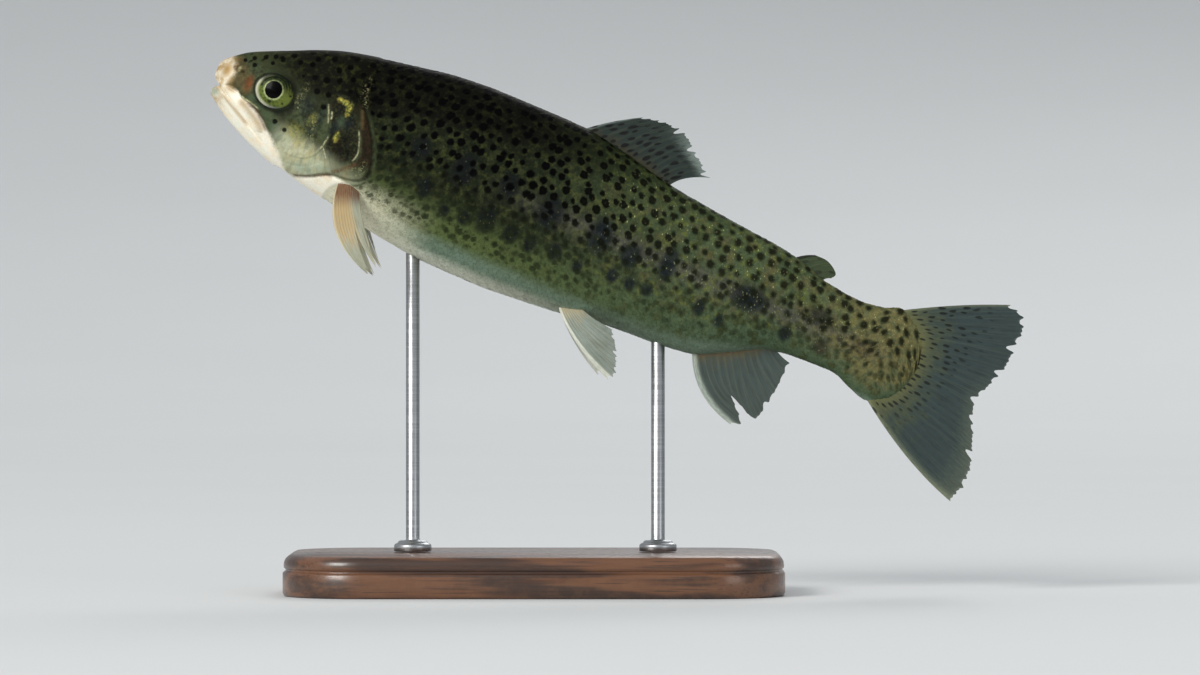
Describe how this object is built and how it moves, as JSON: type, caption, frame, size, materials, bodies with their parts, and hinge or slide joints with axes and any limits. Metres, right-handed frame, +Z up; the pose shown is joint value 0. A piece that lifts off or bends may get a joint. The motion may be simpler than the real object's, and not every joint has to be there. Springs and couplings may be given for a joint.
{
  "type": "rainbow trout",
  "caption": "Still life-size model of a young rainbow trout swimming nose-up, held by short rods over a flat display base.",
  "frame": {"origin": "middle of the bounding box, on the surface that the stand's base rests on", "axes": "+X from the snout to the tail, +Z up, -Y towards the fish's left flank"},
  "size_m": [0.24, 0.084, 0.1593],
  "materials": {
    "flank_skin": "wet olive-green scaled skin with black spots, paling to silver on the belly",
    "head_skin": "smooth wet skin, olive on top, silvery green and gold on the cheek",
    "jaw_skin": "smooth cream-white skin with a bright silvery edge",
    "fin_membrane": "thin clear olive-grey web on fine rays, spotted",
    "amber_fin_membrane": "thin clear web on amber rays with a pale leading edge",
    "eye": "glossy eye, green-gold iris round a black pupil",
    "stained_wood": "dark stained hardwood with a satin varnish",
    "brushed_steel": "fine brushed steel rod"
  },
  "bodies": {
    "root": {"head": "head_skin", "lower_jaw": "jaw_skin", "maxilla_left": "jaw_skin", "maxilla_right": "jaw_skin", "gill_cover_left": "head_skin", "gill_cover_right": "head_skin", "eye_left": "eye", "eye_right": "eye", "trunk_front": "flank_skin", "trunk_middle": "flank_skin", "trunk_rear": "flank_skin", "tail_stalk": "flank_skin", "dorsal_fin": "fin_membrane", "adipose_fin": "fin_membrane", "anal_fin": "amber_fin_membrane", "caudal_fin": "fin_membrane", "pectoral_fin_left": "amber_fin_membrane", "pectoral_fin_right": "amber_fin_membrane", "pelvic_fin_left": "amber_fin_membrane", "pelvic_fin_right": "amber_fin_membrane", "stand_base": "stained_wood", "stand_rod_front": "brushed_steel", "stand_rod_rear": "brushed_steel"}
  },
  "joints": []
}
